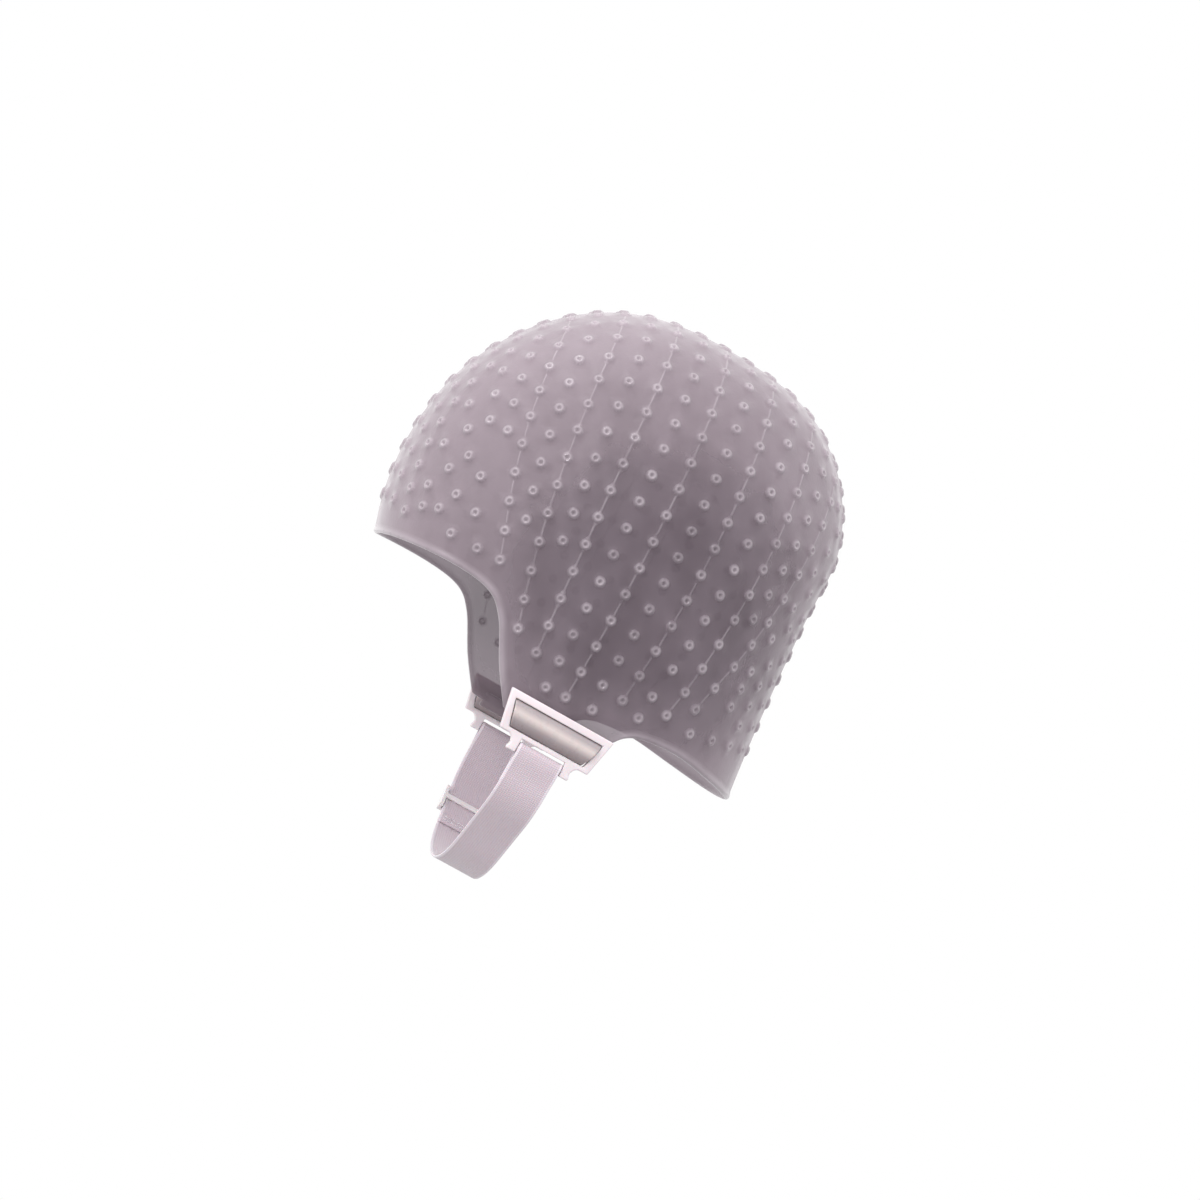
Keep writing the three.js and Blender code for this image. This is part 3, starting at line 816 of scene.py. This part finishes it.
BEAD_HALF_HEIGHT = 6.4
BEAD_HALF_THICKNESS = 4.2
BEAD_END_GAP = 0.3
ROD_HOLE = 1.3
WINDOW_TOP = (23.2, -6.5)  # half length, and distance below the rod
WINDOW_BOTTOM = (19.7, 6.5)
SIDE_NAME = {1: "left", -1: "right"}


def tab_bead(side):
    """The oval bead, hollow for its rod, its ends cut to the slant of the buckle's window."""
    turns = 48
    angle = 2 * math.pi * np.arange(turns) / turns
    cosine, sine = np.cos(angle), np.sin(angle)
    rows = []
    inset = [(0.93, 0.0), (0.97, 0.12), (0.99, 0.3), (1.0, 0.6)]
    drop = BEAD_HALF_HEIGHT * sine
    halves = [WINDOW_TOP[0], WINDOW_BOTTOM[0]]
    lengths = np.interp(drop, [WINDOW_TOP[1], WINDOW_BOTTOM[1]], halves) - BEAD_END_GAP
    rear_cut = 0.6 * smooth((drop - 2.2) / 2.5)
    front, back = -lengths, lengths - rear_cut
    sections = [(scale, front + step) for scale, step in inset]
    sections += [(1.0, front + (back - front) * t) for t in np.linspace(0.08, 0.92, 22)]
    sections += [(scale, back - step) for scale, step in reversed(inset)]
    for scale, along in sections:
        rows.append((scale * BEAD_HALF_THICKNESS * cosine, along, scale * drop))
    hole_back, hole_front = sections[-1][1].mean() - 0.1, sections[0][1].mean() + 0.1
    for along in (hole_back, hole_front):
        rows.append((ROD_HOLE * cosine, np.full(turns, along), ROD_HOLE * sine))
    points = np.vstack([place_at(side * ROD[0] + x, along, down) for x, along, down in rows])
    piece = make_mesh(SIDE_NAME[side] + "_tab_bead", points, grid_faces(len(rows), turns, True), satin)
    layer = piece.data.attributes.new("round", "FLOAT", "POINT")
    layer.data.foreach_set("value", np.concatenate([down for _, _, down in rows]) / BEAD_HALF_HEIGHT)
    face_outward(piece)
    smooth_by_angle(piece, 50)
    claim(piece, "cap", "silicone")
    return piece


def rounded_box(name, centre, half, radius, material, frame_axes):
    """A box with rounded edges in a frame of three directions."""
    mesh = bmesh.new()
    bmesh.ops.create_cube(mesh, size=2.0)
    bmesh.ops.scale(mesh, vec=half, verts=mesh.verts)
    bmesh.ops.bevel(
        mesh, geom=mesh.edges[:], offset=radius, segments=4, profile=0.5, affect="EDGES", clamp_overlap=True
    )
    local = np.array([v.co[:] for v in mesh.verts])
    faces = [[v.index for v in face.verts] for face in mesh.faces]
    mesh.free()
    points = np.asarray(centre) + local @ np.asarray(frame_axes)
    piece = make_mesh(name, points, faces, material)
    face_outward(piece)
    smooth_by_angle(piece, 40)
    return piece


BUCKLE_AXES = np.array([[1.0, 0, 0], ALONG, DOWN])
for side in (1, -1):
    tab_bead(side)
    web = rounded_box(
        SIDE_NAME[side] + "_tab_web",
        place_at(side * (ROD[0] - 6), 0.0, 0.0),
        (3.0, 18.5, 4.0),
        1.4,
        silicone,
        BUCKLE_AXES,
    )
    claim(web, "cap", "silicone")

# ---- Buckle frames -------------------------------------------------------------------------------

FRAME_THICKNESS = 4.4
EDGE_ROUND = 0.75
# The frame's outline as (along the rod, below the rod): one half, from the top rail down to the strap's arm.
HALF_OUTLINE = [
    (27.0, -10.1),
    (23.1, 8.7),
    (18.2, 8.7),
    (16.6, 9.9),
    (15.7, 11.8),
    (15.7, 13.2),
    (16.4, 14.2),
    (16.2, 15.7),
    (11.6, 15.6),
    (11.6, 8.7),
]
OTHER_HALF = [(-along, down) for along, down in reversed(HALF_OUTLINE)]
FRAME_OUTLINE = OTHER_HALF[-1:] + HALF_OUTLINE + OTHER_HALF[:-1]
BAR_DROP = 13.0
BAR_RADIUS = 1.5


def buckle_frame(side):
    """The frame cut from its outline and window, with rounded edges and the round bar for the strap."""
    window = [(-WINDOW_TOP[0], WINDOW_TOP[1]), (WINDOW_TOP[0], WINDOW_TOP[1])]
    window += [(WINDOW_BOTTOM[0], WINDOW_BOTTOM[1]), (-WINDOW_BOTTOM[0], WINDOW_BOTTOM[1])]
    corners = FRAME_OUTLINE + window
    outer, hole = list(range(len(FRAME_OUTLINE))), list(range(len(FRAME_OUTLINE), len(corners)))
    made = delaunay_2d_cdt([Vector(c) for c in corners], [], [outer, hole[::-1]], 2, 1e-6)
    flat = np.array([tuple(v) for v in made[0]])
    middles = [flat[face].mean(axis=0) for face in made[2]]
    in_window = [WINDOW_TOP[1] < m[1] < WINDOW_BOTTOM[1] and abs(m[0]) < 19.6 for m in middles]
    faces = [face for face, skip in zip(made[2], in_window) if not skip]
    mesh = bmesh.new()
    verts = [mesh.verts.new((-FRAME_THICKNESS / 2, a, d)) for a, d in flat]
    for face in faces:
        mesh.faces.new([verts[i] for i in face])
    bmesh.ops.dissolve_limit(mesh, angle_limit=0.01, verts=mesh.verts[:], edges=mesh.edges[:])
    made = bmesh.ops.extrude_face_region(mesh, geom=mesh.faces[:])
    moved = [v for v in made["geom"] if isinstance(v, bmesh.types.BMVert)]
    bmesh.ops.translate(mesh, vec=(FRAME_THICKNESS, 0, 0), verts=moved)
    bmesh.ops.recalc_face_normals(mesh, faces=mesh.faces)
    sharp = [edge for edge in mesh.edges if edge.calc_face_angle(0) > 0.5]
    bmesh.ops.bevel(mesh, geom=sharp, offset=EDGE_ROUND, segments=3, profile=0.6, affect="EDGES")
    made = bmesh.ops.create_cone(
        mesh, cap_ends=True, segments=28, radius1=BAR_RADIUS, radius2=BAR_RADIUS, depth=28.0
    )
    turn = Matrix.Rotation(math.pi / 2, 4, "X")
    bmesh.ops.transform(mesh, matrix=Matrix.Translation((0, 0, BAR_DROP)) @ turn, verts=made["verts"])
    local = np.array([v.co[:] for v in mesh.verts])
    mesh.verts.index_update()
    faces = [[v.index for v in face.verts] for face in mesh.faces]
    mesh.free()
    points = np.array([side * ROD[0], ROD[1], ROD[2]]) + local @ BUCKLE_AXES
    body = SIDE_NAME[side] + "_buckle"
    piece = make_mesh(body + "_moulding", points, faces, plastic)
    face_outward(piece)
    smooth_by_angle(piece, 38)
    claim(piece, body, "white_plastic", body + "_frame")


for side in (1, -1):
    buckle_frame(side)
    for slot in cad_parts[SIDE_NAME[side] + "_tab_rod"].material_slots:
        slot.material = steel

# ---- Chin strap ----------------------------------------------------------------------------------

RUN_START = np.array([66.0, 44.0])
RUN_END = np.array([46.0, 63.0])
CHIN_DROP = 78.0
STRAIGHT_END = 22.0
STRAP_HALF_WIDTH = 11.25
STRAP_THICKNESS = 1.2
LAYER_OFFSET = 0.75
EYE_RADIUS = BAR_RADIUS + 0.3 + STRAP_THICKNESS / 2
SEWN_END = 30.0
TAIL_PAST_RUN = 3.0


def straight(start, end, count):
    t = np.linspace(0, 1, count)[:, None]
    return start + (end - start) * t, np.repeat([(end - start) / np.linalg.norm(end - start)], count, axis=0)


def bezier(controls, count):
    a, b, c, d = (np.asarray(p, float) for p in controls)
    t = np.linspace(0, 1, count)[:, None]
    place = a * (1 - t) ** 3 + 3 * b * t * (1 - t) ** 2 + 3 * c * t**2 * (1 - t) + d * t**3
    heading = (b - a) * (1 - t) ** 2 + 2 * (c - b) * t * (1 - t) + (d - c) * t**2
    return place, heading / np.linalg.norm(heading, axis=1)[:, None]


def strap_stretches():
    """The strap's path on one side in four stretches, as (sideways, down), each with its headings."""
    run = (RUN_END - RUN_START) / np.linalg.norm(RUN_END - RUN_START)
    bar, level = np.array([ROD[0], BAR_DROP]), np.array([ROD[0], STRAIGHT_END])
    return [
        straight(bar, level, 14),
        bezier([level, level + [0, 9], RUN_START - 9 * run, RUN_START], 26),
        straight(RUN_START, RUN_END, 14),
        bezier([RUN_END, RUN_END + 13 * run, [21, CHIN_DROP], [0, CHIN_DROP]], 50),
    ]


def layer(offset, stretches, past_end=0.0):
    """One layer of the strap beside its path. The layers spread next to the bar, to pass round it."""
    parts = strap_stretches()[:stretches]
    place = np.vstack([p[1:] for p, _ in parts])
    heading = np.vstack([h[1:] for _, h in parts])
    if past_end:
        place = np.vstack([place, place[-1] + past_end * heading[-1]])
        heading = np.vstack([heading, heading[-1:]])
    near_bar = smooth((place[:, 1] - BAR_DROP - 1) / (STRAIGHT_END + 4 - BAR_DROP - 1))
    spread = (EYE_RADIUS + (LAYER_OFFSET - EYE_RADIUS) * near_bar) * offset
    return place + spread[:, None] * np.column_stack([heading[:, 1], -heading[:, 0]])


def eye():
    angle = math.pi * (1 - np.linspace(0, 1, 17))
    return np.array([ROD[0], BAR_DROP]) + EYE_RADIUS * np.column_stack([np.cos(angle), -np.sin(angle)])


MIRROR = np.array([-1.0, 1.0])
sewn = layer(-1, 2)
sewn = sewn[sewn[:, 1] < SEWN_END]
outer_layer = layer(1, 4)
tail = layer(-1, 3, TAIL_PAST_RUN)
ribbon = np.vstack(
    [
        sewn[::-1],
        eye(),
        outer_layer,
        (outer_layer * MIRROR)[::-1][1:],
        (eye() * MIRROR)[::-1],
        tail * MIRROR,
    ]
)
ribbon = resample(ribbon, 0.55)


def strap_band():
    """The ribbon with softly rounded edges, and where each point lies on the band for its weave."""
    heading = np.gradient(ribbon, axis=0)
    heading /= np.linalg.norm(heading, axis=1)[:, None]
    outward = np.column_stack([heading[:, 1], -heading[:, 0]])
    half = STRAP_THICKNESS / 2
    section = []
    for side in (1, -1):
        for across in np.linspace(-1, 1, 21):
            reach = across * (STRAP_HALF_WIDTH - 0.3)
            section.append((side * reach, side * half))
        for turn in (-45, 0, 45):
            angle = math.radians(turn)
            reach = STRAP_HALF_WIDTH - 0.3 + 0.3 * math.cos(angle)
            section.append((side * reach, -side * half * math.sin(angle)))
    across = np.array([s[0] for s in section])
    depth = np.array([s[1] for s in section])
    selvedge = 0.12 * np.exp(-(((np.abs(across) - 10.3) / 0.5) ** 2))
    depth = depth + np.sign(depth) * (selvedge - 0.1 * (np.abs(depth) >= half))
    length = arc_length(ribbon)
    points, band = [], []
    last = len(ribbon) - 1
    for i, centre in enumerate(ribbon):
        taper = 0.6 if i in (0, last) else 1.0
        spot = centre + taper * depth[:, None] * outward[i]
        points.append(place_at(spot[:, 0], across, spot[:, 1]))
        band.append(np.column_stack([np.full(len(across), length[i]), across, depth]))
    faces = grid_faces(len(ribbon), len(section))
    faces.append(list(range(len(section)))[::-1])
    faces.append([last * len(section) + k for k in range(len(section))])
    piece = make_mesh("elastic_strap", np.vstack(points), faces, elastic)
    weave = piece.data.attributes.new("band", "FLOAT_VECTOR", "POINT")
    weave.data.foreach_set("vector", np.vstack(band).astype(np.float32).ravel())
    face_outward(piece)
    claim(piece, "strap", "elastic", "chin_strap")


strap_band()


def tube(line, radius, sides):
    """Rings round a line and the faces between them, closed at both ends."""
    heading = np.gradient(line, axis=0)
    heading /= np.linalg.norm(heading, axis=1)[:, None]
    first = np.cross(heading, [0.3, 0.9, 0.2])
    first /= np.linalg.norm(first, axis=1)[:, None]
    second = np.cross(heading, first)
    size = radius * np.sqrt(np.clip(1 - np.linspace(-1, 1, len(line)) ** 6, 0.1, 1))
    angle = 2 * math.pi * np.arange(sides) / sides
    rings = [
        line[i] + size[i] * (np.cos(angle)[:, None] * first[i] + np.sin(angle)[:, None] * second[i])
        for i in range(len(line))
    ]
    faces = grid_faces(len(line), sides)
    faces.append(list(range(sides))[::-1])
    faces.append([(len(line) - 1) * sides + k for k in range(sides)])
    return np.vstack(rings), faces


def stitches(name, last_points, side, node):
    """Two rows of short stitches across a folded end, on its inner face."""
    end = last_points[-1]
    heading = (end - last_points[-2]) / np.linalg.norm(end - last_points[-2])
    inward = np.array([-heading[1], heading[0]])
    face_height = STRAP_THICKNESS / 2
    points, faces = [], []
    for row, back in enumerate((2.0, 4.0)):
        for k in range(8):
            start = -9.4 + 2.4 * k + 0.5 * row
            t = np.linspace(0, 1, 9)
            along = start + 1.9 * t
            rise = face_height + 0.22 * np.sin(math.pi * t) - 0.05
            zigzag = back + 0.5 * (t - 0.5) * (1 if k % 2 else -1)
            flat = end - zigzag[:, None] * heading + rise[:, None] * inward
            line = place_at(side * flat[:, 0], along, flat[:, 1])
            ring_points, ring_faces = tube(line, 0.24, 8)
            base = sum(len(p) for p in points)
            points.append(ring_points)
            faces += [[base + i for i in face] for face in ring_faces]
    piece = make_mesh(name, np.vstack(points), faces, thread)
    face_outward(piece)
    claim(piece, "strap", "thread", node)


stitches("sewn_end_stitches", sewn, 1, "sewn_end_stitching")
stitches("tail_stitches", tail, -1, "tail_stitching")

# ---- Slider --------------------------------------------------------------------------------------

SLIDER_LENGTH = 13.0
SLIDER_BAR = 2.6
SLIDER_RAIL = 2.0
SLIDER_THICKNESS = 6.2


def slider():
    """A moulded three-bar slider: boxes fused into one body with soft corners."""
    inner = STRAP_HALF_WIDTH + 0.5
    layers = LAYER_OFFSET + STRAP_THICKNESS / 2 + 0.3
    bar_depth = SLIDER_THICKNESS / 2 - layers
    place = layers + bar_depth / 2
    ends = (SLIDER_LENGTH - SLIDER_BAR) / 2
    rail = (SLIDER_THICKNESS / 2, SLIDER_LENGTH / 2, SLIDER_RAIL / 2)
    bar = (bar_depth / 2, SLIDER_BAR / 2, inner + SLIDER_RAIL / 2)
    boxes = [
        ((0, 0, inner + SLIDER_RAIL / 2), rail),
        ((0, 0, -inner - SLIDER_RAIL / 2), rail),
        ((-place, ends, 0), bar),
        ((-place, -ends, 0), bar),
        ((place, 0, 0), bar),
    ]
    mesh = bmesh.new()
    for centre, half in boxes:
        made = bmesh.ops.create_cube(mesh, size=2.0)
        bmesh.ops.scale(mesh, vec=half, verts=made["verts"])
        bmesh.ops.translate(mesh, vec=centre, verts=made["verts"])
    middle = (RUN_START + RUN_END) / 2
    lean = math.atan2(RUN_START[0] - RUN_END[0], RUN_END[1] - RUN_START[1])
    turned = np.array([[math.cos(lean), -math.sin(lean)], [math.sin(lean), math.cos(lean)]])
    local = np.array([v.co[:] for v in mesh.verts])
    faces = [[v.index for v in face.verts] for face in mesh.faces]
    mesh.free()
    flat = np.array([-middle[0], middle[1]]) + local[:, :2] @ turned
    points = place_at(flat[:, 0], local[:, 2], flat[:, 1])
    piece = make_mesh("strap_slider_moulding", points, faces, glossy_plastic)
    face_outward(piece)
    remesh = piece.modifiers.new("fuse", "REMESH")
    remesh.mode = "VOXEL"
    remesh.voxel_size = 0.00024
    soften = piece.modifiers.new("soften", "SMOOTH")
    soften.factor = 0.5
    soften.iterations = 9
    finish_modifiers(piece)
    for face in piece.data.polygons:
        face.use_smooth = True
    claim(piece, "slider", "white_plastic", "strap_slider")


slider()

# ---- Stage, camera and lights --------------------------------------------------------------------

VIEW_AZIMUTH = math.radians(81)
VIEW_ELEVATION = math.radians(1)
VIEW_DISTANCE = 1.3
VIEW_SHIFT = (-0.00441, -0.0196)  # to the right and up, so that the cap stands where it should in the frame
LENS = 79.6
SENSOR = 36


def aim(thing, location, target):
    thing.location = Vector(location)
    thing.rotation_mode = "QUATERNION"
    thing.rotation_quaternion = (Vector(target) - Vector(location)).to_track_quat("-Z", "Y")


def soft_light(name, location, size, energy, colour, target=(0, 0, -0.01)):
    light = bpy.data.lights.new(name, "AREA")
    light.shape = "DISK"
    light.size = size
    light.energy = energy
    light.color = colour
    lamp = bpy.data.objects.new(name, light)
    bpy.context.scene.collection.objects.link(lamp)
    aim(lamp, location, target)


def studio():
    level = math.cos(VIEW_ELEVATION)
    back = Vector((math.sin(VIEW_AZIMUTH) * level, -math.cos(VIEW_AZIMUTH) * level, math.sin(VIEW_ELEVATION)))
    right = Vector((math.cos(VIEW_AZIMUTH), math.sin(VIEW_AZIMUTH), 0))
    up = back.cross(right)
    camera = bpy.data.objects.new("camera", bpy.data.cameras.new("camera"))
    bpy.context.scene.collection.objects.link(camera)
    camera.location = VIEW_DISTANCE * back + VIEW_SHIFT[0] * right + VIEW_SHIFT[1] * up
    camera.rotation_mode = "QUATERNION"
    camera.rotation_quaternion = (-back).to_track_quat("-Z", "Y")
    camera.data.sensor_width = SENSOR
    camera.data.lens = LENS
    bpy.context.scene.camera = camera

    world = bpy.data.worlds.new("studio")
    bpy.context.scene.world = world
    world.use_nodes = True
    nodes, links = world.node_tree.nodes, world.node_tree.links
    place = nodes.new("ShaderNodeTexCoord")
    split = nodes.new("ShaderNodeSeparateXYZ")
    ramp = nodes.new("ShaderNodeValToRGB")
    shift = nodes.new("ShaderNodeMath")
    shift.operation = "MULTIPLY_ADD"
    shift.inputs[1].default_value = 0.5
    shift.inputs[2].default_value = 0.5
    ramp.color_ramp.elements[0].position = 0.1
    ramp.color_ramp.elements[0].color = (0.47, 0.45, 0.465, 1)
    ramp.color_ramp.elements[1].position = 0.38
    ramp.color_ramp.elements[1].color = (1, 1, 1, 1)
    links.new(place.outputs["Generated"], split.inputs[0])
    links.new(split.outputs[2], shift.inputs[0])
    links.new(shift.outputs[0], ramp.inputs["Fac"])
    links.new(ramp.outputs["Color"], nodes["Background"].inputs["Color"])
    nodes["Background"].inputs["Strength"].default_value = 1.0

    soft_light("glint_light", (1.1, -0.2, 0.55), 0.1, 2.0, (1.0, 0.99, 1.0))
    soft_light("crown_light", (0.35, -0.15, 1.1), 0.9, 7.0, (1.0, 0.98, 0.99))
    soft_light("brow_light", (0.8, -1.0, 0.5), 0.5, 3.0, (1.0, 0.97, 0.98))
    soft_light("nape_light", (0.3, 1.2, 0.2), 0.7, 3.0, (1.0, 0.98, 1.0))
    bpy.context.scene.view_settings.view_transform = "Standard"


studio()
